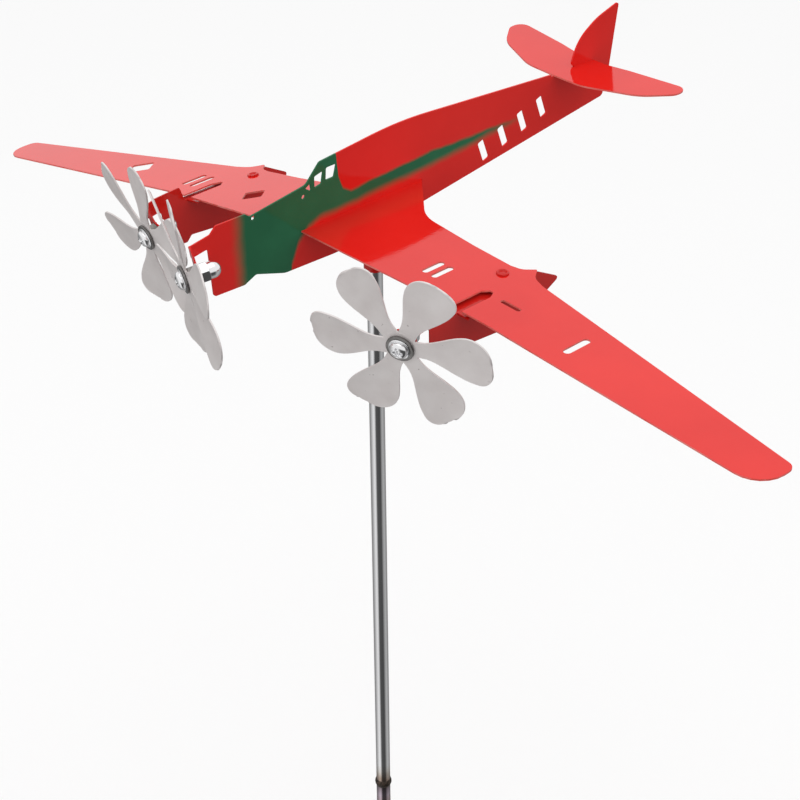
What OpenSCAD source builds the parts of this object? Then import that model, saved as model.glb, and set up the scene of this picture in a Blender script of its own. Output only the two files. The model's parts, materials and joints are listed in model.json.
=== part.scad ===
// Three-propeller aeroplane whirligig of cut sheet metal, turning on a garden mast.
// +X is towards the nose, +Y to port, +Z up. The origin is on the mast's axis at ground level.

/* [Airframe] */
// Distance between the two wing tips, with both halves level
wingspan = 640; // [600:1:700]
// Thickness of the sheet of the fuselage, wing, tailplane and nacelles
sheet = 1; // [0.8:0.1:1.5]
// Height of the wing's root above the ground
wing_z = 500; // [420:1:900]
// Angle at which the port half of the wing droops
port_droop = 0.8; // [0:0.1:12]
// Angle at which the starboard half of the wing droops
starboard_droop = 12.1; // [0:0.1:13]
// Height of the tailplane above the wing's root
tail_z = 31.5; // [30.5:0.5:32]

/* [Engines] */
// Distance of the port nacelle plate from the fuselage, along the wing
port_nacelle_y = 116; // [114:0.5:118]
// Distance of the starboard nacelle plate from the fuselage, along the wing
starboard_nacelle_y = 118.5; // [116:0.5:118.5]
// Place of the nacelle tabs' folds, ahead of the mast
nacelle_fold_x = 73.2; // [72:0.1:76]
// Place of the nose tab's fold, ahead of the mast
nose_fold_x = 126; // [125:0.5:128]
// Depth of the port propeller's axis below the wing
port_drop = 8.3; // [7:0.1:13]
// Depth of the starboard propeller's axis below the wing
starboard_drop = 11.7; // [7:0.1:13]
// Height of the nose propeller's axis above the wing's root
nose_rise = 5; // [3:0.5:7]
// Angle at which the port propeller's axis points outward
port_toe = 23; // [0:1:30]
// Angle at which the starboard propeller's axis points outward
starboard_toe = 8; // [0:1:30]
// Angle at which the nose propeller's axis points to starboard
nose_toe = 20; // [0:1:25]
// Angle at which every propeller's axis points downward
shaft_tilt = 9; // [0:1:10]

/* [Propellers] */
// Radius of each propeller at its blade tips
propeller_r = 50; // [46:1:52]
// Number of blades on each propeller
blades = 6; // [3:1:6]
// Angle by which each blade leans out of the plane in which it turns
blade_pitch = -7; // [-12:1:12]
// Radius of the flat disc in the middle of each propeller
hub_r = 10; // [9:0.5:12]

/* [Hardware] */
// Diameter of the screws on which the propellers turn
screw_d = 6; // [6:1:6]
// Diameter of the screws' pan heads
head_d = 12; // [11:0.5:13]
// Diameter of the front washers
front_washer_d = 15.5; // [13:0.5:16]
// Width of the nuts across their flats
nut_flats = 10; // [10:0.5:11]

/* [Mast] */
// Outer diameter of the mast tube and of the ground spike
mast_d = 9.5; // [9:0.5:10.5]
// Wall of the mast tube
mast_wall = 1; // [0.8:0.1:1.2]
// Outer diameter of the sleeve that turns on the mast
sleeve_d = 12.7; // [12.5:0.1:14]
// Depth that the spike reaches below the ground
spike_depth = 150; // [120:5:250]
// Height of the weld between the spike and the tube above the ground
weld_z = 50; // [30:1:100]

/* [Hidden] */

NOSE = 0;
PORT = 1;
STARBOARD = -1;
ENGINES = [NOSE, PORT, STARBOARD];

$fn = 48;
tiny = 0.01;
skin = sheet / 2;
bend_r = skin + 0.1;
lean = tan(shaft_tilt);

// Running clearances
running_gap = 0.05;
side_gap = 0.25;

// Stack on each screw, measured forward from the front face of its tab
hole_reach = 6.5;
screw_r = screw_d / 2;
nut_h = 5;
back_washer_t = 0.8;
back_washer_r = 6;
front_washer_t = 1.2;
blade_t = 1;
head_h = 3.6;
back_washer_x = nut_h;
propeller_x = back_washer_x + back_washer_t + side_gap;
front_washer_x = propeller_x + blade_t + side_gap;
head_x = front_washer_x + front_washer_t;
screw_length = 18;

// Angle at which each propeller has come to rest
nose_spin = -7;
port_spin = -24;
starboard_spin = -19;

// Acorn nuts
acorn_hex_h = 5;
acorn_dome_r = 4.75;
acorn_h = 12;

// Mast and swivel, measured from the wing's root where they are near it
mast_r = mast_d / 2;
mast_bore_r = mast_r - mast_wall;
sleeve_top = wing_z - 2.5;
sleeve_bottom = wing_z - 44;
sleeve_cap = 3.5;
ball_r = 3;
ball_z = sleeve_top - sleeve_cap - 0.1 - ball_r;
mast_top = ball_z - 0.9;
plug_length = 25;
spigot_length = 25;
spike_tip = 25;
weld_half = 3;
weld_bulge = 1;

// Cut-outs and rivets
rivet_place = [4, 107];
rivet_head_r = 3.5;
rivet_shank_r = 1.6;

// ---- Outlines -----------------------------------------------------------------------------

function unit(v) = v / norm(v);

// Points that replace the corner b, between a and c, by an arc of radius r
function corner(a, b, c, r, steps = 6) =
    let (
        u = unit(a - b),
        v = unit(c - b),
        half = acos(u * v) / 2,
        centre = b + unit(u + v) * r / sin(half),
        start = b + u * r / tan(half) - centre,
        first = atan2(start.y, start.x),
        turn = (180 - 2 * half) * sign(cross(b - a, c - b))
    )
    r == 0 ? [b] : [
        for (i = [0:steps]) let (angle = first + turn * i / steps) centre + r * [cos(angle), sin(angle)]
    ];

// Closed outline through corners given as [x, y, radius]
function rounded(corners) =
    let (n = len(corners), xy = [for (p = corners) [p.x, p.y]])
    [for (i = [0:n - 1]) each corner(xy[(i + n - 1) % n], xy[i], xy[(i + 1) % n], corners[i].z)];

// Half of the wing from above: x forward, y outboard from the fuselage
wing_outline = rounded([
    [53.5, 0, 0], [46, 130, 300], [52, wingspan / 2, 16], [27.5, wingspan / 2, 5],
    [-0.5, 141, 10], [-2, 131, 6], [-5, 122, 10], [-12.5, 116.5, 0.8], [-6.5, 111, 8], [-5, 104, 5],
    [-5.5, 75, 40], [-8, 34, 25], [-37, 0, 0]
]);

// Slot in the front of the wing for a nacelle, closed from below by the nacelle's saddle
nacelle_slot = [[60, 112], [25, 112], [21, 115], [21, 117.5], [26, 120], [60, 120]];
saddle_depth = 1.8;

// Side of the fuselage and fin: x forward, y up from the wing's root
fuselage_outline = rounded([
    [nose_fold_x + (12 - nose_rise) * lean, 12, 0],
    [nose_fold_x + (19 - nose_rise) * lean, 19, 0],
    [115, 21, 2], [111, 25, 2], [91, 24.5, 1.5], [88, 22, 3],
    [49, 27, 6], [39, 37.5, 3], [-20, 42.5, 250], [-142, 32.5, 0],
    [-142.8, tail_z - skin, 0], [-178, tail_z - skin, 0], [-178, tail_z + skin, 0],
    [-158, tail_z + skin, 3], [-164.5, 48, 25], [-180, 57.5, 40], [-199, 63, 1.5],
    [-193, 23, 6], [-188, 5, 3],
    [27, -22.5, 60], [66, -21, 12], [86, -14, 3], [94, -17.5, 3], [115, -16.5, 2], [117, 13.5, 1.5]
]);

// Cockpit windows
windows = [
    rounded([[34.5, 32.5, 1], [27, 32.5, 1], [29, 25, 1], [35, 25, 1]]),
    rounded([[43, 30, 1], [36.5, 31.5, 1], [38, 24, 1], [43, 23, 1]]),
    rounded([[46, 27, 0.4], [45.3, 22, 0.4], [49.5, 25, 0.4]])
];

// Half of the tailplane from above: x forward, y outboard
tailplane_outline = rounded([
    [-144, -1, 0], [-144.5, 22, 30], [-159, 55, 30], [-176, 68.5, 9], [-187, 68, 6],
    [-181, 28, 25], [-177.5, 12, 4], [-177, -1, 0]
]);

// Side of a nacelle plate: x forward, y up from the middle of the wing's sheet
function nacelle_outline(side) = rounded([
    [nacelle_fold_x + (drop(side) - 4.5) * lean, -4.5, 0],
    [nacelle_fold_x + (drop(side) + 3.5) * lean, 3.5, 0], [68, 5.5, 3], [50, 6.5, 1.5],
    [48, -skin - saddle_depth, 1], [17, -skin - saddle_depth, 0], [16, -skin, 0], [-12, -skin, 1],
    [-30, -10.5, 1.5], [-20, -16, 3], [-1, -28, 8], [48, -24, 2], [52, -27.5, 2], [60, -27, 4],
    [65, -20, 3], [65.5, -3, 2.5]
]);

// Slanted row of plain slots in the rear of the fuselage
side_slots = 4;
side_slot_first = [-86, 2];
side_slot_step = [-16, 4.2];

// ---- Places -------------------------------------------------------------------------------

function droop(side) = side == PORT ? port_droop : starboard_droop;
function toe(side) = side == PORT ? port_toe : starboard_toe;
function drop(side) = side == PORT ? port_drop : starboard_drop;
function nacelle_y(side) = side == PORT ? port_nacelle_y : starboard_nacelle_y;

// Distance, from a fold, of the point where a screw's axis meets the front face of its tab
function shaft_offset(angle) = hole_reach * [sin(angle), -cos(angle)] + skin * [cos(angle), sin(angle)];

// Places its children on one half of the wing: y is outboard, z is square to the sheet
module on_wing(side) {
    translate([0, 0, wing_z]) mirror([0, side == PORT ? 0 : 1, 0]) rotate([-droop(side), 0, 0]) children();
}

// Places its children on a screw: x is forward along the screw from the tab's front face,
// and the tab's fold is on the +y side
module on_screw(engine) {
    if (engine == NOSE) {
        place = [nose_fold_x, 0] + shaft_offset(nose_toe);
        translate([place.x, -place.y, wing_z + nose_rise]) rotate([0, 0, -nose_toe])
            mirror([0, 1, 0]) rotate([0, shaft_tilt, 0]) children();
    } else {
        place = [nacelle_fold_x, nacelle_y(engine)] + shaft_offset(toe(engine));
        on_wing(engine) translate([place.x, place.y, -drop(engine)]) rotate([0, 0, toe(engine)])
            rotate([0, shaft_tilt, 0]) children();
    }
}

// Cylinder along +x that starts at x
module rod(r, length, x = 0) {
    translate([x, 0, 0]) rotate([0, 90, 0]) cylinder(r = r, h = length);
}

// Sheet in the x-z plane, centred on y
module upright_sheet() {
    rotate([90, 0, 0]) linear_extrude(height = sheet, center = true) children();
}

// Bent tab in a screw's own frame, with its bend and the screw's hole, reaching from low to high;
// the bend is above the neck
module tab(low, high, neck) {
    translate([-skin, hole_reach, neck + 0.2]) cylinder(r = bend_r, h = high - neck - 0.4);
    difference() {
        translate([-sheet, 0, 0]) rotate([90, 0, 90]) linear_extrude(height = sheet)
            polygon(rounded([
                [hole_reach, neck, 0], [hole_reach, high, 0], [hole_reach - 3, high, 2],
                [0, 5.5, 4], [-hole_reach, 4.5, 3], [-hole_reach, low, 5],
                [hole_reach - 1, low, 5], [hole_reach - 1, neck, 0]
            ]));
        rod(screw_r + 0.25, 3 * sheet, -2 * sheet);
    }
}

// ---- Airframe -----------------------------------------------------------------------------

module fuselage_plate() color([0.78, 0.13, 0.12]) {
    translate([0, 0, wing_z]) upright_sheet() difference() {
        polygon(fuselage_outline);
        for (outline = windows) polygon(outline);
        translate([51, 20.5]) circle(r = 1.3);
        translate([86, 20.5]) circle(r = 1.3);
        for (i = [0:side_slots - 1])
            translate(side_slot_first + i * side_slot_step) rotate(70) side_slot();
        // Slot for the wing, and notch for the sleeve below it
        translate([-37, -skin]) square([90.5, sheet]);
        translate([-sleeve_d / 2, -40]) square([sleeve_d, 40 + sleeve_top - wing_z]);
    }
    on_screw(NOSE) tab(-7.5, 18.9 - nose_rise, 12.1 - nose_rise);
}

module side_slot() {
    polygon(rounded([[-7, -2.5, 1], [7, -2.5, 1], [7, 2.5, 1], [-7, 2.5, 1]]));
}

// One half of the wing, still flat: openings are the half's own cut-outs
module wing_half(side) {
    on_wing(side) linear_extrude(height = sheet, center = true) difference() {
        polygon(wing_outline);
        polygon(nacelle_slot);
        translate(rivet_place) circle(r = rivet_shank_r);
        children();
    }
}

// Plain diamond, long along x
module diamond(length, width) {
    x = length / 2;
    y = width / 2;
    polygon(rounded([[x, 0, 1.5], [0, y, 1.5], [-x, 0, 1.5], [0, -y, 1.5]]));
}

module wing() color([0.86, 0.18, 0.16]) {
    wing_half(PORT) {
        for (y = [77.5, 84.5]) translate([26.5, y]) plain_slot(15, 4);
        translate([24, 133]) rotate(90) plain_slot(14, 3);
        translate([27, 182.5]) plain_slot(18, 4.5);
    }
    wing_half(STARBOARD) {
        translate([27, 77]) diamond(18, 15);
        for (y = [129.5, 137.5]) translate([26, y]) plain_slot(18, 4);
        translate([26.5, 194]) diamond(21, 17);
    }
}

// Straight slot with rounded ends, long along x
module plain_slot(length, width) {
    x = length / 2;
    y = width / 2;
    end = y - tiny;
    polygon(rounded([[-x, -y, end], [x, -y, end], [x, y, end], [-x, y, end]]));
}

module tailplane() color([0.8, 0.14, 0.12]) {
    translate([0, 0, wing_z + tail_z]) linear_extrude(height = sheet, center = true) {
        polygon(tailplane_outline);
        mirror([0, 1]) polygon(tailplane_outline);
    }
}

// Flange that a rivet holds below the wing, reaching inward from the nacelle's plate at y
function flange_outline(y) = rounded([[-3.5, y, 0], [11.5, y, 0], [11.5, 101, 4], [-3.5, 101, 4]]);

// Nacelle plate with its tab, and the flange that the rivet holds below the wing
module nacelle(side) color([0.72, 0.12, 0.11]) {
    on_wing(side) {
        translate([0, nacelle_y(side), 0]) upright_sheet() polygon(nacelle_outline(side));
        translate([16.5, 107.5, -skin - saddle_depth - sheet]) cube([29.5, 17, sheet]);
        difference() {
            translate([0, 0, -skin - sheet]) linear_extrude(height = sheet)
                polygon(flange_outline(nacelle_y(side)));
            translate([rivet_place.x, rivet_place.y, -3]) cylinder(r = rivet_shank_r, h = 3);
        }
    }
    on_screw(side) tab(-7.5, drop(side) + 3.4, drop(side) - 4.4);
}

module nacelle_port() nacelle(PORT);

module nacelle_starboard() nacelle(STARBOARD);

module nacelle_rivets() color([0.75, 0.2, 0.18]) {
    for (side = [PORT, STARBOARD]) on_wing(side) translate(concat(rivet_place, 0)) {
        translate([0, 0, skin]) cylinder(r1 = rivet_head_r, r2 = 2.2, h = 1.1);
        translate([0, 0, -skin - sheet]) cylinder(r = rivet_shank_r, h = 2 * sheet);
        translate([0, 0, -skin - sheet - 0.9]) cylinder(r = 2.5, h = 0.9);
    }
}

// ---- Propellers and their screws ----------------------------------------------------------

// One flat blade from the hub outward, before it is stood up along z
blade_outline = rounded([
    [-4.5, hub_r - 2, 0], [-5, 15, 12], [-11.5, 33, 20], [-11.5, propeller_r, 12],
    [17.5, propeller_r, 9], [14.5, 34, 25], [6, 15, 12], [4.5, hub_r - 2, 0]
]);

module propeller(engine, spin) color([0.72, 0.7, 0.69]) {
    on_screw(engine) mirror([0, engine == PORT ? 0 : 1, 0]) translate([propeller_x, 0, 0])
        rotate([spin, 0, 0]) difference() {
            union() {
                rod(hub_r, blade_t);
                for (i = [0:blades - 1])
                    rotate([i * 360 / blades, 0, 0]) translate([blade_t / 2, 0, 0])
                        rotate([0, 0, blade_pitch]) rotate([90, 0, 90])
                            linear_extrude(height = blade_t, center = true) children();
            }
            rod(screw_r + running_gap, 3 * blade_t, -blade_t);
        }
}

module blade() polygon(blade_outline);

module propeller_nose() propeller(NOSE, nose_spin) blade();

module propeller_port() propeller(PORT, port_spin) blade();

module propeller_starboard() propeller(STARBOARD, starboard_spin) blade();

// Pan-head screw with a cross recess, on which one propeller turns
module axle(engine) color([0.75, 0.75, 0.76]) {
    on_screw(engine) {
        rod(screw_r, screw_length, head_x - screw_length);
        difference() {
            translate([head_x, 0, 0]) rotate([0, 90, 0]) rotate_extrude()
                polygon(concat([[0, 0], [head_d / 2, 0]], head_curve()));
            for (turn = [0, 90]) rotate([turn, 0, 0])
                translate([head_x + head_h - 1.2, -0.55, -2.9]) cube([2, 1.1, 5.8]);
        }
    }
}

// Outer curve of a screw head, from its rim to its crown
function head_curve(steps = 8) =
    [for (i = [0:steps]) [head_d / 2 * cos(90 * i / steps), 1 + (head_h - 1) * sin(90 * i / steps)]];

module axle_nose() axle(NOSE);

module axle_port() axle(PORT);

module axle_starboard() axle(STARBOARD);

// One washer on every screw
module washers(r, thickness, x) {
    for (engine = ENGINES) on_screw(engine) difference() {
        rod(r, thickness, x);
        rod(screw_r + 0.2, thickness + 2, x - 1);
    }
}

module front_washers() color([0.85, 0.85, 0.86])
    washers(front_washer_d / 2, front_washer_t, front_washer_x);

module back_washers() color([0.8, 0.8, 0.82])
    washers(back_washer_r, back_washer_t, back_washer_x);

// Hexagonal prism along +x that starts at x
module hexagon(height, x) {
    translate([x, 0, 0]) rotate([0, 90, 0]) cylinder(d = nut_flats / cos(30), h = height, $fn = 6);
}

module hex_nuts() color([0.35, 0.34, 0.33]) {
    for (engine = ENGINES) on_screw(engine) difference() {
        hexagon(nut_h, 0);
        rod(screw_r + 0.02, nut_h + 2, -1);
    }
}

module acorn_nuts() color([0.8, 0.8, 0.82]) {
    dome = acorn_h - acorn_dome_r;
    for (engine = ENGINES) on_screw(engine) translate([-sheet, 0, 0]) difference() {
        union() {
            hexagon(acorn_hex_h, -acorn_hex_h);
            rod(acorn_dome_r, dome, -dome);
            translate([-dome, 0, 0]) sphere(r = acorn_dome_r);
        }
        rod(screw_r + 0.02, 10, -9.5);
    }
}

// ---- Swivel and mast ----------------------------------------------------------------------

module pivot_sleeve() color([0.7, 0.12, 0.11]) {
    translate([0, 0, sleeve_bottom]) difference() {
        cylinder(d = sleeve_d, h = sleeve_top - sleeve_bottom);
        translate([0, 0, -1])
            cylinder(r = mast_r + running_gap, h = sleeve_top - sleeve_cap - sleeve_bottom + 1);
    }
}

module bearing_ball() color([0.7, 0.7, 0.72]) translate([0, 0, ball_z]) sphere(r = ball_r);

module mast_plug() color([0.6, 0.6, 0.62]) {
    difference() {
        translate([0, 0, mast_top - plug_length]) cylinder(r = mast_bore_r - 0.02, h = plug_length);
        translate([0, 0, ball_z]) sphere(r = ball_r + 0.02);
    }
}

module mast_tube() color([0.75, 0.76, 0.78]) {
    bottom = weld_z + weld_half;
    difference() {
        translate([0, 0, bottom]) cylinder(r = mast_r, h = mast_top - bottom);
        translate([0, 0, bottom - 1]) cylinder(r = mast_bore_r, h = mast_top - bottom + 2);
    }
}

module weld_bead() color([0.3, 0.28, 0.27]) {
    translate([0, 0, weld_z]) rotate_extrude() polygon(concat(
        [[mast_bore_r, weld_half], [mast_bore_r, -weld_half]],
        [for (a = [-90:15:90]) [mast_r + weld_bulge * cos(a), weld_half * sin(a)]]
    ));
}

module ground_spike() color([0.6, 0.6, 0.62]) {
    tip_z = spike_tip - spike_depth;
    translate([0, 0, tip_z]) cylinder(r = mast_r, h = weld_z - weld_half - tip_z);
    translate([0, 0, -spike_depth]) cylinder(r1 = 0.6, r2 = mast_r, h = spike_tip);
    translate([0, 0, weld_z - weld_half]) cylinder(r = mast_bore_r - 0.02, h = spigot_length);
}

fuselage_plate();
wing();
tailplane();
nacelle_port();
nacelle_starboard();
nacelle_rivets();
propeller_nose();
propeller_port();
propeller_starboard();
axle_nose();
axle_port();
axle_starboard();
front_washers();
back_washers();
hex_nuts();
acorn_nuts();
pivot_sleeve();
bearing_ball();
mast_plug();
mast_tube();
weld_bead();
ground_spike();
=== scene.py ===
"""Aeroplane whirligig on a garden mast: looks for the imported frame."""
import json
from math import cos, pi, radians, sin, sqrt, tan
import bmesh
import bpy
from mathutils import Matrix, Vector, noise


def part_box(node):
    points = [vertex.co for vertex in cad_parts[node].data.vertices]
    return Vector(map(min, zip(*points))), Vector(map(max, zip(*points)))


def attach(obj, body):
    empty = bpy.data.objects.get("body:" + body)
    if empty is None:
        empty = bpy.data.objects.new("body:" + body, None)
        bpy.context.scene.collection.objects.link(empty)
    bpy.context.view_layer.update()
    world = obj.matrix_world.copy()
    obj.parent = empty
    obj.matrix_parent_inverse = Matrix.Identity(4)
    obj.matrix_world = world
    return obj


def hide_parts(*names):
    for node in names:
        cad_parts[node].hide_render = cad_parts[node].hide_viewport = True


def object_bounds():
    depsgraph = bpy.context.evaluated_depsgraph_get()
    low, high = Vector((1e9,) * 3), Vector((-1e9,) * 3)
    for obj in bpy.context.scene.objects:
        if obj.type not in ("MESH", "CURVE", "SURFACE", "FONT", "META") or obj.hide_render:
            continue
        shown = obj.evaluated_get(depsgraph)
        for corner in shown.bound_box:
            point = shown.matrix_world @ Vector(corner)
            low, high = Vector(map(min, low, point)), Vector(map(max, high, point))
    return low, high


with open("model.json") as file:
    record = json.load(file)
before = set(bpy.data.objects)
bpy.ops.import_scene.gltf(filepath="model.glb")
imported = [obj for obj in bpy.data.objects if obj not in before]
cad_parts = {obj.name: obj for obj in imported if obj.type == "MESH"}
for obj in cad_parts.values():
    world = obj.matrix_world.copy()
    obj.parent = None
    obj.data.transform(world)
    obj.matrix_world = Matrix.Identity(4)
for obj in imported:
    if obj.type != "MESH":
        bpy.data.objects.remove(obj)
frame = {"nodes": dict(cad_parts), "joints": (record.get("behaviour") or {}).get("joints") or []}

NODES = frame["nodes"]
JOINTS = {joint["name"]: joint for joint in frame["joints"]}
CAD_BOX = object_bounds()
MM = 0.001

# Wing, in millimetres and degrees
WING_Z = 500
PORT_DROOP = 0.8
STARBOARD_DROOP = 12.1
RIVET_X = 4
RIVET_Y = 107
SHEET = 1

# Stack on each screw, in millimetres from the front face of its tab.
# A washer is given by its back, its front and its outer radius.
SCREW_R = 3
SHANK_END = -9.3
BORE_R = 3.05
PROPELLER_X = 6.55
BACK_WASHER = (5.0, 5.8, 6.0)
FRONT_WASHER = (7.3, 8.5, 7.75)
HEAD_X = 8.5
HEAD_R = 6
CROWN_R = 5
CROWN_H = 2.6
RECESS_DEPTH = 1.7
NUT_APOTHEM = 5
NUT_RIM = NUT_APOTHEM - 0.15
NUT_H = 5
THREAD_R = SCREW_R + 0.05
THREAD_MOUTH_R = SCREW_R + 0.5
FACE_GAP = 0.02
ACORN_TIP = -13
ACORN_R = 4.75
ACORN_HEX_H = 5

# Propellers, in millimetres and degrees
TIP_R = 50
HUB_R = 10
BLADE_ROOT_R = 6
BLADE_SHEET = 0.9
BLADES = 6
SPINS = {"nose": -7, "port": -24, "starboard": -19}
LEANS = {"nose": 9, "port": 4, "starboard": 9}

# Mast and spike, in millimetres; heights are above the ground
MAST_R = 4.75
MAST_BORE = 3.75
WELD_LOW = 47
WELD_HIGH = 53
WELD_BEADS = 17
SPIKE_POINT_H = 25

# Sprayed green band, in millimetres: how far its curved edges run ahead of the mast, and how far
# above or below the wing's root they can reach
BAND_REAR = -125
BAND_FRONT = 75
BAND_REACH = 60

# Camera: place in metres, axes as directions, lens in millimetres, and its bearing in degrees
CAMERA_PLACE = (0.6505, 0.7404, 1.0198)
CAMERA_RIGHT = (-0.7384, 0.6743, -0.0077)
CAMERA_BACK = (0.5584, 0.6178, 0.5536)
CAMERA_LENS = 88.56
CAMERA_BEARING = 48.7

# Greys of the lower sky, by degrees round from the camera's bearing
SKY_BANDS = [
    (-165, 0.3), (-115, 0.35), (-88, 0.62), (-62, 1.0), (-42, 0.95),
    (-20, 0.1), (38, 0.07), (62, 0.4), (85, 0.5), (130, 0.3)]


# ---- Meshes --------------------------------------------------------------------------------

def add_piece(name, mesh, material, body, nodes=()):
    """Puts a finished bmesh in the scene as one piece, riding on a body."""
    data = bpy.data.meshes.new(name)
    mesh.to_mesh(data)
    mesh.free()
    piece = bpy.data.objects.new(name, data)
    bpy.context.collection.objects.link(piece)
    data.materials.append(material)
    data.shade_smooth()
    data.set_sharp_from_angle(angle=radians(32))
    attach(piece, body)
    for node in nodes:
        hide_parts(node)
    return piece


def add_rings(mesh, place, rings, steps, closed=False):
    """Skins rings given as functions of angle that return (along, radius), in millimetres."""
    rows = []
    for ring in rings:
        row = []
        for i in range(steps):
            angle = 2 * pi * i / steps
            along, radius = ring(angle)
            point = Vector((along, radius * cos(angle), radius * sin(angle))) * MM
            row.append(mesh.verts.new(place @ point))
        rows.append(row)
    if closed:
        rows.append(rows[0])
    for a, b in zip(rows, rows[1:]):
        for i in range(steps):
            j = (i + 1) % steps
            mesh.faces.new((a[i], a[j], b[j], b[i]))
    if not closed:
        mesh.faces.new(rows[0])
        mesh.faces.new(rows[-1])


def steady(along, radius):
    """A plain circular ring."""
    return lambda angle: (along, radius)


def lathe(mesh, place, profile, steps=72, closed=False):
    """Turns a profile of (along, radius) points about the local x axis."""
    add_rings(mesh, place, [steady(x, r) for x, r in profile], steps, closed)


def finish_normals(mesh):
    """Turns every face outwards."""
    bmesh.ops.recalc_face_normals(mesh, faces=mesh.faces)
    return mesh


def screw_frame(engine):
    """Matrix of a screw: x runs forward along it from the tab's front face, z is its sheet's up."""
    joint = JOINTS[engine + "_spin"]
    axis = Vector(joint["axis"]).normalized()
    droop = {"nose": 0, "port": -PORT_DROOP, "starboard": STARBOARD_DROOP}[engine]
    sheet_up = Vector((0, -sin(radians(droop)), cos(radians(droop))))
    up = (sheet_up - axis * axis.dot(sheet_up)).normalized()
    side = up.cross(axis)
    origin = Vector(joint["pos_m"]) - axis * PROPELLER_X * MM
    return Matrix.Translation(origin) @ Matrix((axis, side, up)).transposed().to_4x4()


def wing_frame(side):
    """Matrix of the rivet on one half of the wing: x is square to the sheet."""
    droop = radians(PORT_DROOP if side > 0 else STARBOARD_DROOP)
    up = Vector((0, side * sin(droop), cos(droop)))
    out = Vector((0, side * cos(droop), -sin(droop)))
    origin = Vector((RIVET_X, 0, WING_Z)) * MM + out * RIVET_Y * MM
    return Matrix.Translation(origin) @ Matrix((up, out, up.cross(out))).transposed().to_4x4()


# In the mast's frame, x runs up the mast's axis
MAST_FRAME = Matrix(((0, 0, 1), (0, 1, 0), (-1, 0, 0))).transposed().to_4x4()


# ---- Materials -----------------------------------------------------------------------------

class Graph:
    """Adds and links the shader nodes of one node tree."""

    def __init__(self, tree):
        self.tree = tree

    def add(self, kind, inputs=(), **settings):
        node = self.tree.nodes.new(kind)
        for key, value in settings.items():
            setattr(node, key, value)
        for key, value in dict(inputs).items():
            self.put(value, node.inputs[key])
        return node

    def put(self, value, socket):
        if isinstance(value, bpy.types.NodeSocket):
            self.tree.links.new(value, socket)
        else:
            socket.default_value = value

    def span(self, value, low, high, to_low=0.0, to_high=1.0, smooth=False):
        kind = "SMOOTHSTEP" if smooth else "LINEAR"
        sockets = {"Value": value, "From Min": low, "From Max": high, "To Min": to_low, "To Max": to_high}
        node = self.add("ShaderNodeMapRange", sockets, interpolation_type=kind)
        return node.outputs["Result"]

    def math(self, operation, a, b=0.0):
        node = self.add("ShaderNodeMath", {0: a, 1: b}, operation=operation)
        return node.outputs[0]

    def mix(self, factor, a, b, blend="MIX"):
        node = self.add("ShaderNodeMix", data_type="RGBA", blend_type=blend)
        self.put(factor, node.inputs["Factor"])
        self.put(a, node.inputs[6])
        self.put(b, node.inputs[7])
        return node.outputs[2]

    def ramp(self, value, stops):
        node = self.add("ShaderNodeValToRGB", {"Fac": value})
        elements = node.color_ramp.elements
        while len(elements) < len(stops):
            elements.new(0.5)
        for element, (place, colour) in zip(elements, stops):
            element.position = place
            element.color = colour
        return node.outputs["Color"]


class Nodes(Graph):
    """The nodes of one material."""

    def __init__(self, name):
        self.material = bpy.data.materials.new(name)
        self.material.use_nodes = True
        super().__init__(self.material.node_tree)
        self.shader = self.tree.nodes["Principled BSDF"]
        self.object_point = self.add("ShaderNodeTexCoord").outputs["Object"]

    def noise(self, scale, detail=3.0, roughness=0.5, point=None):
        where = point or self.object_point
        sockets = {"Vector": where, "Scale": scale, "Detail": detail, "Roughness": roughness}
        return self.add("ShaderNodeTexNoise", sockets).outputs["Fac"]

    def scaled_point(self, x, y, z):
        node = self.add("ShaderNodeMapping", {"Vector": self.object_point, "Scale": (x, y, z)})
        return node.outputs["Vector"]

    def axes(self):
        return self.add("ShaderNodeSeparateXYZ", {"Vector": self.object_point}).outputs

    def bump(self, height, strength, distance):
        node = self.add("ShaderNodeBump", {"Height": height, "Strength": strength, "Distance": distance})
        self.put(node.outputs["Normal"], self.shader.inputs["Normal"])

    def set(self, **values):
        for key, value in values.items():
            self.put(value, self.shader.inputs[key.replace("_", " ")])


def rgb(r, g, b):
    return (r, g, b, 1.0)


def paint_finish(nodes, gloss):
    """Enamel: low roughness, fine orange peel and a few dust nibs."""
    nodes.set(Roughness=nodes.span(nodes.noise(35, 4), 0.3, 0.7, 0.05, 0.1))
    nodes.set(IOR=1.5, Specular_IOR_Level=gloss)
    peel = nodes.noise(420, 2)
    nibs = nodes.span(nodes.noise(1500, 1), 0.72, 0.8, 0, 0.6)
    nodes.bump(nodes.math("ADD", peel, nibs), 0.09, 0.0002)


def red_paint(name, deep, light, gloss, edge_highlight=None):
    """Slightly uneven red enamel; the optional last colour is a painted highlight on the cut edges of a
    level sheet, patchy by noise.
    """
    nodes = Nodes(name)
    coat = nodes.mix(nodes.span(nodes.noise(14, 5), 0.35, 0.68), deep, light)
    if edge_highlight:
        # Painted highlight: the cut edges, where the normal lies in the sheet's plane, are mixed towards the
        # paler colour as if they caught the light, patchy by noise
        normal = nodes.add("ShaderNodeTexCoord").outputs["Normal"]
        across = nodes.add("ShaderNodeSeparateXYZ", {"Vector": normal}).outputs["Z"]
        on_edge = nodes.span(nodes.math("ABSOLUTE", across), 0.8, 0.4)
        painted_edge_highlight = nodes.math("MULTIPLY", on_edge, nodes.span(nodes.noise(90, 3), 0.3, 0.6, 0.35, 1.0))
        coat = nodes.mix(painted_edge_highlight, coat, edge_highlight)
    nodes.set(Base_Color=coat)
    paint_finish(nodes, gloss)
    return nodes.material


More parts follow.
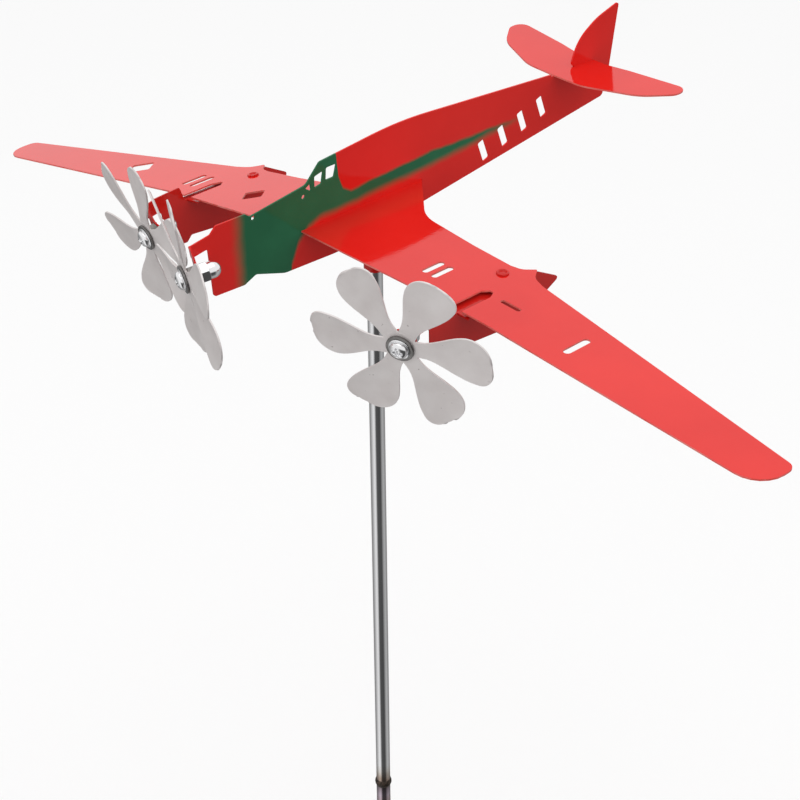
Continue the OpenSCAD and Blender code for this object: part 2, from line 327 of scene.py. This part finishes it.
def band_edge(nodes, x, points):
    """Height, in metres above the wing's root, of a line through (x, z) points in millimetres."""
    where = nodes.span(x, BAND_REAR * MM, BAND_FRONT * MM)
    node = nodes.add("ShaderNodeFloatCurve", {"Value": where})
    curve = node.mapping.curves[0]
    length = BAND_FRONT - BAND_REAR
    placed = [((along - BAND_REAR) / length, (z + BAND_REACH) / (2 * BAND_REACH)) for along, z in points]
    curve.points[0].location = placed[0]
    curve.points[1].location = placed[-1]
    for place in placed[1:-1]:
        curve.points.new(*place)
    for point in curve.points:
        point.handle_type = "VECTOR"
    node.mapping.update()
    return nodes.span(node.outputs["Value"], 0, 1, -BAND_REACH * MM, BAND_REACH * MM)


def fuselage_paint():
    """Red enamel with a green band sprayed by hand round the cockpit and back along the side."""
    nodes = Nodes("fuselage_enamel")
    wander = nodes.noise(60, 3)
    uneven = nodes.span(nodes.noise(14, 5), 0.35, 0.68)
    red = nodes.mix(uneven, rgb(0.75, 0.015, 0.011), rgb(0.84, 0.022, 0.016))
    mottled = nodes.span(nodes.noise(18, 4), 0.35, 0.65)
    green = nodes.mix(mottled, rgb(0.013, 0.125, 0.052), rgb(0.022, 0.165, 0.072))
    x = nodes.axes()["X"]
    drift = nodes.span(wander, 0, 1, -1.6 * MM, 1.6 * MM)
    z = nodes.math("ADD", nodes.math("SUBTRACT", nodes.axes()["Z"], WING_Z * MM), drift)
    low_edge = band_edge(nodes, x, [
        (BAND_REAR, 14), (-44, 7), (18, 4.5), (40, 4), (48, 1),
        (56, -7), (61, -18), (64, -45), (BAND_FRONT, -55)])
    high_edge = band_edge(nodes, x, [
        (BAND_REAR, 14), (-43, 16), (17, 13), (23, 17), (26, 25), (28, 50), (BAND_FRONT, 55)])
    over_low = nodes.span(nodes.math("SUBTRACT", z, low_edge), -3.5 * MM, 3.5 * MM, smooth=True)
    under_high = nodes.span(nodes.math("SUBTRACT", high_edge, z), -1.2 * MM, 1.6 * MM, smooth=True)
    ahead = nodes.span(nodes.math("ADD", x, drift), 91 * MM, 103 * MM, 1, 0, smooth=True)
    behind = nodes.span(x, BAND_REAR * MM, -100 * MM, smooth=True)
    upright = nodes.math("MULTIPLY", over_low, under_high)
    lengthwise = nodes.math("MULTIPLY", ahead, behind)
    sprayed = nodes.math("MULTIPLY", upright, lengthwise)
    nodes.set(Base_Color=nodes.mix(sprayed, red, green))
    paint_finish(nodes, 0.2)
    return nodes.material


def blade_metal():
    """Tumbled sheet steel: a warm grey with an even fine grain and a few dark specks."""
    nodes = Nodes("blade_steel")
    tone = nodes.mix(nodes.span(nodes.noise(55, 5), 0.3, 0.7), rgb(0.72, 0.67, 0.66), rgb(0.8, 0.76, 0.75))
    specks = nodes.span(nodes.noise(330, 2), 0.73, 0.78, 0, 0.7)
    stains = nodes.span(nodes.noise(120, 5, 0.7), 0.66, 0.74, 0, 0.45)
    marked = nodes.mix(nodes.math("MAXIMUM", specks, stains), tone, rgb(0.36, 0.31, 0.3))
    nodes.set(Base_Color=marked, Metallic=0.45)
    nodes.set(Roughness=nodes.span(nodes.noise(160, 4), 0.3, 0.7, 0.46, 0.6))
    nodes.bump(nodes.noise(1800, 2), 0.18, 0.0001)
    return nodes.material


def bright_metal(name, dark, light, smooth, rough, grain, strength):
    """Bare or plated metal with a fine grain and patches that are a little duller."""
    nodes = Nodes(name)
    nodes.set(Base_Color=nodes.mix(nodes.span(nodes.noise(120, 4), 0.3, 0.7), dark, light), Metallic=1.0)
    nodes.set(Roughness=nodes.span(nodes.noise(260, 4), 0.3, 0.7, smooth, rough))
    nodes.bump(nodes.noise(grain, 2), strength, 0.0001)
    return nodes.material


def mast_metal():
    """Drawn stainless tube: faint lines along it, and heat colours that fade away from the weld."""
    nodes = Nodes("mast_stainless")
    z = nodes.axes()["Z"]
    lines = nodes.noise(300, 3, point=nodes.scaled_point(1, 1, 0.02))
    steel = nodes.mix(nodes.span(lines, 0.3, 0.7), rgb(0.72, 0.72, 0.73), rgb(0.84, 0.84, 0.85))
    drift = nodes.span(nodes.noise(70, 3), 0, 1, -5 * MM, 5 * MM)
    height = nodes.span(nodes.math("ADD", z, drift), -40 * MM, 85 * MM)
    heat = nodes.ramp(height, [
        (0.0, rgb(0.62, 0.54, 0.44)), (0.3, rgb(0.5, 0.36, 0.27)), (0.52, rgb(0.62, 0.42, 0.36)),
        (0.64, rgb(0.62, 0.52, 0.6)), (0.7, rgb(0.3, 0.24, 0.26)), (0.76, rgb(0.5, 0.38, 0.3)),
        (0.81, rgb(0.85, 0.8, 0.74)), (0.86, rgb(1, 1, 1))])
    nodes.set(Base_Color=nodes.mix(1.0, steel, heat, blend="MULTIPLY"), Metallic=1.0)
    nodes.set(Roughness=nodes.span(lines, 0.3, 0.7, 0.12, 0.2))
    nodes.bump(lines, 0.05, 0.0001)
    return nodes.material


def weld_metal():
    """Burnt weld: nearly black, with brown patches and a scaly surface."""
    nodes = Nodes("weld_steel")
    burnt = nodes.span(nodes.noise(500, 4), 0.4, 0.65)
    nodes.set(Base_Color=nodes.mix(burnt, rgb(0.035, 0.028, 0.024), rgb(0.11, 0.08, 0.062)))
    nodes.set(Metallic=0.9, Roughness=nodes.span(nodes.noise(700, 3), 0.3, 0.7, 0.32, 0.6))
    nodes.bump(nodes.noise(900, 4), 0.5, 0.0002)
    return nodes.material


# The wing's red carries a pale painted highlight on its cut edges
WING_PAINT = red_paint(
    "wing_enamel", deep=rgb(0.76, 0.013, 0.009), light=rgb(0.84, 0.019, 0.013), gloss=0.55,
    edge_highlight=rgb(0.85, 0.2, 0.17))
# Painted shade: the same red enamel as the wing, made darker to stand for the shade under the wing; the
# rivets and the sleeve share it
NACELLE_SHADED_PAINT = red_paint(
    "nacelle_enamel_painted_shade", deep=rgb(0.57, 0.012, 0.009), light=rgb(0.66, 0.018, 0.013), gloss=0.25)
FUSELAGE_PAINT = fuselage_paint()
BLADE_METAL = blade_metal()
CHROME = bright_metal(
    "screw_chrome", dark=rgb(0.8, 0.8, 0.81), light=rgb(0.9, 0.9, 0.91),
    smooth=0.06, rough=0.16, grain=900, strength=0.04)
# Painted shade: the washers are near-black, far darker than plain steel, so they read as the dark ring of
# shade round each screw head
WASHER_SHADED_STEEL = bright_metal(
    "washer_steel", dark=rgb(0.13, 0.125, 0.12), light=rgb(0.24, 0.23, 0.225),
    smooth=0.2, rough=0.36, grain=1200, strength=0.12)
NUT_STEEL = bright_metal(
    "nut_steel", dark=rgb(0.17, 0.16, 0.15), light=rgb(0.32, 0.3, 0.29),
    smooth=0.24, rough=0.42, grain=1000, strength=0.15)
MAST_STEEL = mast_metal()
WELD_STEEL = weld_metal()


# ---- Painted sheets and hidden parts: the CAD nodes as they are ------------------------------

def dress(name, material):
    """Gives a CAD node its material."""
    node = NODES[name]
    node.data.materials.clear()
    node.data.materials.append(material)


dress("wing", WING_PAINT)
dress("tailplane", WING_PAINT)
dress("fuselage_plate", FUSELAGE_PAINT)
dress("nacelle_port", NACELLE_SHADED_PAINT)
dress("nacelle_starboard", NACELLE_SHADED_PAINT)
dress("bearing_ball", CHROME)
dress("mast_plug", NUT_STEEL)


# ---- Propellers ----------------------------------------------------------------------------

def ease(value):
    """Smooth step from 0 to 1."""
    value = min(max(value, 0), 1)
    return value * value * (3 - 2 * value)


def blade_edge(radius, root, wide, extra, tip_round):
    """Distance of one edge of a blade from its middle line; extra widens it further near the tip."""
    side = root + (wide - root) * ease((radius - 12) / 26) + extra * ease((radius - 30) / 20)
    past = max(radius - (TIP_R - tip_round), 0) / tip_round
    return side - tip_round * (1 - sqrt(max(1 - past * past, 0)))


def blade_point(radius, share, blade_lean):
    """Point of a blade's middle surface, share running from 0 at its left edge to 1 at its right."""
    left = -blade_edge(radius, root=4.8, wide=11.5, extra=0, tip_round=12.5)
    right = blade_edge(radius, root=5, wide=14.3, extra=3, tip_round=9)
    across = left + (right - left) * share
    lean = tan(radians(blade_lean)) * ease((radius - 8) / 14)
    belly = 0.5 * ease((radius - 12) / 16) * (1 - (2 * share - 1) ** 2)
    return Vector((PROPELLER_X + across * lean - belly, across, radius)) * MM


def make_blades(engine, place):
    """The six blades of a propeller, each one thin curved sheet that starts inside the hub."""
    mesh = bmesh.new()
    length = TIP_R - BLADE_ROOT_R
    rows = [BLADE_ROOT_R + length * sin(pi / 2 * i / 26) for i in range(27)]
    shares = [0.5 - 0.5 * cos(pi * j / 12) for j in range(13)]
    for blade in range(BLADES):
        turn = Matrix.Rotation(radians(SPINS[engine] + blade * 360 / BLADES), 4, "X")
        grid = []
        for r in rows:
            points = [blade_point(r, s, LEANS[engine]) for s in shares]
            grid.append([mesh.verts.new(place @ turn @ point) for point in points])
        for a, b in zip(grid, grid[1:]):
            for j in range(len(shares) - 1):
                mesh.faces.new((a[j], a[j + 1], b[j + 1], b[j]))
    blades = add_piece(engine + "_propeller_blades", finish_normals(mesh), BLADE_METAL,
                       engine + "_propeller", ["propeller_" + engine])
    thick = blades.modifiers.new("thickness", "SOLIDIFY")
    thick.thickness = BLADE_SHEET * MM
    thick.offset = 0
    edge = blades.modifiers.new("edge", "BEVEL")
    edge.width = 0.22 * MM
    edge.segments = 2
    edge.limit_method = "ANGLE"
    edge.angle_limit = radians(60)


def make_hub(engine, place):
    """The pierced disc in the middle of a propeller."""
    mesh = bmesh.new()
    back = PROPELLER_X - 0.5
    front = PROPELLER_X + 0.5
    profile = [
        (back + 0.1, BORE_R), (back, BORE_R + 0.1), (back, HUB_R - 0.2), (back + 0.2, HUB_R),
        (front - 0.2, HUB_R), (front, HUB_R - 0.2), (front, BORE_R + 0.1), (front - 0.1, BORE_R)]
    lathe(mesh, place, profile, closed=True)
    add_piece(engine + "_propeller_hub", finish_normals(mesh), BLADE_METAL,
              engine + "_propeller", ["propeller_" + engine])


# ---- Screws, nuts and washers --------------------------------------------------------------

def recess(across, along):
    """Depth of the cross recess of a screw head at a point of its face."""
    arm = min(abs(across), abs(along))
    reach = max(abs(across), abs(along))
    slot = ease((0.95 - arm) / 0.5) * ease((3.1 - reach) / 0.7)
    middle = ease((1.7 - sqrt(across * across + along * along)) / 0.8)
    return RECESS_DEPTH * max(slot, middle)


def head_ring(radius):
    """One ring of a pan head's crown, with the cross recess sunk into it."""
    def ring(angle):
        crown = 1 + CROWN_H * max(1 - (radius / CROWN_R) ** 2.6, 0) ** 0.5
        return HEAD_X + crown - recess(radius * cos(angle), radius * sin(angle)), radius
    return ring


def make_screw(engine, place):
    """A pan-head screw with a cross recess."""
    mesh = bmesh.new()
    face = [head_ring(CROWN_R * sin(pi / 2 * i / 34)) for i in range(34, 0, -1)]
    tip = [steady(SHANK_END, SCREW_R - 0.6), steady(SHANK_END + 0.5, SCREW_R)]
    shank = tip + [steady(HEAD_X, SCREW_R)]
    flange = [
        steady(HEAD_X, HEAD_R - 0.2), steady(HEAD_X + 0.2, HEAD_R + 0.1), steady(HEAD_X + 0.4, HEAD_R - 0.1),
        steady(HEAD_X + 0.5, HEAD_R - 0.5), steady(HEAD_X + 0.3, CROWN_R)]
    add_rings(mesh, place, shank + flange + face, 120)
    add_piece(engine + "_screw", finish_normals(mesh), CHROME, "airframe", ["axle_" + engine])


def add_washer(mesh, place, back, front, outer):
    """Washer with its edges broken."""
    inner = SCREW_R + 0.2
    soft = 0.18
    profile = [
        (back, inner + soft), (back, outer - soft), (back + soft, outer), (front - soft, outer),
        (front, outer - soft), (front, inner + soft), (front - soft, inner), (back + soft, inner)]
    lathe(mesh, place, profile, closed=True)


def chamfer_ring(face, inward):
    """Ring where the cone that trims a nut's corners meets its flats."""
    def ring(angle):
        turn = (angle + pi / 6) % (pi / 3) - pi / 6
        corner = NUT_APOTHEM / cos(turn)
        return face + inward * (corner - NUT_RIM) * tan(radians(30)), corner
    return ring


def make_nuts(places):
    """Hex nuts on the front faces of the tabs."""
    mesh = bmesh.new()
    back = FACE_GAP
    front = NUT_H - FACE_GAP
    rings = [
        steady(0.4, THREAD_R), steady(back, THREAD_MOUTH_R), steady(back, NUT_RIM), chamfer_ring(back, 1),
        chamfer_ring(front, -1), steady(front, NUT_RIM), steady(front, THREAD_MOUTH_R),
        steady(NUT_H - 0.4, THREAD_R)]
    for place in places:
        add_rings(mesh, place, rings, 72, closed=True)
    add_piece("hex_nut_set", finish_normals(mesh), NUT_STEEL, "airframe", ["hex_nuts"])


def make_acorns(places):
    """Domed nuts on the back faces of the tabs."""
    mesh = bmesh.new()
    front = -SHEET - FACE_GAP
    hex_end = front - ACORN_HEX_H
    dome_x = ACORN_TIP + ACORN_R
    rings = [
        steady(front - 0.4, THREAD_R), steady(front, THREAD_MOUTH_R), steady(front, NUT_RIM),
        chamfer_ring(front, -1), chamfer_ring(hex_end, 1), steady(hex_end, NUT_RIM),
        steady(hex_end - 0.1, ACORN_R - 0.05), steady(dome_x, ACORN_R)]
    turns = [pi / 2 * i / 14 for i in range(1, 14)]
    dome = [steady(dome_x - ACORN_R * sin(turn), ACORN_R * cos(turn)) for turn in turns]
    tip = steady(ACORN_TIP + FACE_GAP, 0.25)
    for place in places:
        add_rings(mesh, place, rings + dome + [tip], 72)
    add_piece("acorn_nut_set", finish_normals(mesh), CHROME, "airframe", ["acorn_nuts"])


def make_rivets():
    """Flanged rivets, dished in the middle, through the wing and the nacelles' flanges."""
    mesh = bmesh.new()
    tail = [(-2.35, 0.4), (-2.2, 1.8), (-1.9, 2.4), (-1.52, 2.5), (-1.5, 1.55), (0.48, 1.55)]
    crown = [
        (0.5, 3.4), (0.6, 3.5), (1.2, 3.45), (1.5, 3.2), (1.6, 2.8),
        (1.5, 2.3), (1.0, 1.9), (0.8, 1.5), (0.9, 0.8), (0.95, 0.2)]
    for side in (1, -1):
        lathe(mesh, wing_frame(side), tail + crown, 48)
    add_piece("wing_rivets", finish_normals(mesh), NACELLE_SHADED_PAINT,
              "airframe", ["nacelle_rivets"])


def make_washers(name, node, size, places):
    """One washer on each screw."""
    mesh = bmesh.new()
    for place in places:
        add_washer(mesh, place, *size)
    add_piece(name, finish_normals(mesh), WASHER_SHADED_STEEL, "airframe", [node])


SCREWS = {engine: screw_frame(engine) for engine in SPINS}
for engine_name, screw in SCREWS.items():
    make_blades(engine_name, screw)
    make_hub(engine_name, screw)
    make_screw(engine_name, screw)
make_nuts(SCREWS.values())
make_acorns(SCREWS.values())
make_rivets()
make_washers("front_washer_set", "front_washers", FRONT_WASHER, SCREWS.values())
make_washers("back_washer_set", "back_washers", BACK_WASHER, SCREWS.values())


# ---- Mast, sleeve, weld and spike ----------------------------------------------------------

def tall(name):
    """Bottom and top of a CAD node, in millimetres."""
    low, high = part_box(name)
    return low[2] / MM, high[2] / MM


def make_mast():
    """The hollow tube, from the weld up into the sleeve."""
    mesh = bmesh.new()
    bottom, top = tall("mast_tube")
    outside = [(bottom + (top - bottom) * i / 8, MAST_R) for i in range(1, 8)]
    rim = [(top - 0.25, MAST_R), (top, MAST_R - 0.25), (top, MAST_BORE + 0.2), (top - 0.2, MAST_BORE)]
    lathe(mesh, MAST_FRAME, [(bottom, MAST_BORE), (bottom, MAST_R)] + outside + rim, 96, closed=True)
    add_piece("mast_pipe", finish_normals(mesh), MAST_STEEL, "mast", ["mast_tube"])


def make_sleeve():
    """The blind sleeve under the wing, closed at the top."""
    mesh = bmesh.new()
    bottom, top = tall("pivot_sleeve")
    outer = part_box("pivot_sleeve")[1][0] / MM
    inner = MAST_R + 0.05
    roof = top - 3.5
    bore = [(roof, 0.2), (roof, inner), (bottom + 0.3, inner), (bottom, inner + 0.3)]
    outside = [
        (bottom, outer - 0.5), (bottom + 0.5, outer), (top - 0.4, outer), (top, outer - 0.4), (top, 0.2)]
    lathe(mesh, MAST_FRAME, bore + outside, 96)
    add_piece("pivot_tube", finish_normals(mesh), NACELLE_SHADED_PAINT,
              "airframe", ["pivot_sleeve"])


def weld_ring(share):
    """One ring of the weld, whose overlapping beads lean round the mast."""
    along = WELD_LOW + (WELD_HIGH - WELD_LOW) * share
    bulge = sin(pi * share)

    def ring(angle):
        bead = (angle * WELD_BEADS / (2 * pi) + 0.9 * (2 * share - 1) ** 2) % 1
        lump = noise.noise(Vector((cos(angle) * 2, sin(angle) * 2, share * 3)))
        return along, MAST_R + 0.02 + bulge * (0.62 + 0.3 * sqrt(bead) + 0.06 * lump)
    return ring


def make_weld():
    """The bead round the joint of tube and rod."""
    mesh = bmesh.new()
    outside = [weld_ring(i / 22) for i in range(23)]
    inside = [steady(WELD_HIGH, MAST_BORE), steady(WELD_LOW, MAST_BORE)]
    add_rings(mesh, MAST_FRAME, outside + inside, 240, closed=True)
    add_piece("weld_seam", finish_normals(mesh), WELD_STEEL, "mast", ["weld_bead"])


def make_spike():
    """The pointed rod, with a spigot that stands inside the tube."""
    mesh = bmesh.new()
    bottom, top = tall("ground_spike")
    shoulder = bottom + SPIKE_POINT_H
    spigot = MAST_BORE - 0.02
    point = [(bottom, 0.35), (bottom + 0.4, 0.7), (shoulder - 1, MAST_R - 0.12), (shoulder + 1, MAST_R)]
    shank = [(shoulder + (WELD_LOW - shoulder) * i / 8, MAST_R) for i in range(1, 8)]
    upper = [(WELD_LOW, MAST_R), (WELD_LOW, spigot), (top - 0.5, spigot), (top, spigot - 0.5)]
    lathe(mesh, MAST_FRAME, point + shank + upper, 96)
    add_piece("ground_rod", finish_normals(mesh), MAST_STEEL, "mast", ["ground_spike"])


make_mast()
make_sleeve()
make_weld()
make_spike()


# ---- Camera, floor and light ---------------------------------------------------------------

def make_camera():
    """Seen from high in front of the port wing."""
    data = bpy.data.cameras.new("camera")
    data.sensor_width = 36
    data.lens = CAMERA_LENS
    camera = bpy.data.objects.new("camera", data)
    right = Vector(CAMERA_RIGHT).normalized()
    back = Vector(CAMERA_BACK).normalized()
    up = back.cross(right).normalized()
    turn = Matrix((right, up, back)).transposed().to_4x4()
    camera.matrix_world = Matrix.Translation(CAMERA_PLACE) @ turn
    bpy.context.collection.objects.link(camera)
    bpy.context.scene.camera = camera


def make_floor():
    """Plain pale floor at the spike's tip, which the object neither reflects nor is lit by."""
    mesh = bmesh.new()
    bmesh.ops.create_grid(mesh, x_segments=1, y_segments=1, size=12)
    data = bpy.data.meshes.new("floor")
    mesh.to_mesh(data)
    mesh.free()
    floor = bpy.data.objects.new("floor", data)
    floor.location.z = CAD_BOX[0][2] - 0.001
    bpy.context.collection.objects.link(floor)
    floor.visible_glossy = False
    floor.visible_diffuse = False
    nodes = Nodes("floor_pale")
    nodes.set(Base_Color=rgb(0.97, 0.97, 0.97), Roughness=0.9, Specular_IOR_Level=0.0)
    data.materials.append(nodes.material)


def make_sky():
    """Studio light: white above, and below it grey bands by direction, for the metal to reflect."""
    world = bpy.data.worlds.new("studio")
    bpy.context.scene.world = world
    world.use_nodes = True
    graph = Graph(world.node_tree)
    direction = graph.add("ShaderNodeTexCoord").outputs["Generated"]
    split = graph.add("ShaderNodeSeparateXYZ", {"Vector": direction}).outputs
    around = graph.span(graph.math("ARCTAN2", split["Y"], split["X"]), -pi, pi)
    placed = sorted((((CAMERA_BEARING + angle + 180) % 360) / 360, grey) for angle, grey in SKY_BANDS)
    bands = graph.ramp(around, [(where, rgb(grey, grey, grey)) for where, grey in placed])
    rise = graph.span(split["Z"], -0.2, 0.05)
    background = world.node_tree.nodes["Background"]
    graph.put(graph.mix(rise, bands, rgb(1, 1, 1)), background.inputs["Color"])
    graph.put(0.95, background.inputs["Strength"])


def make_lamp():
    """Large soft lamp overhead."""
    data = bpy.data.lights.new("overhead", "AREA")
    data.shape = "SQUARE"
    data.size = 2.2
    data.energy = 7
    lamp = bpy.data.objects.new("overhead", data)
    lamp.location = (0.3, 0.2, 2.6)
    bpy.context.collection.objects.link(lamp)


make_camera()
make_floor()
make_sky()
make_lamp()
bpy.context.scene.view_settings.view_transform = "Standard"
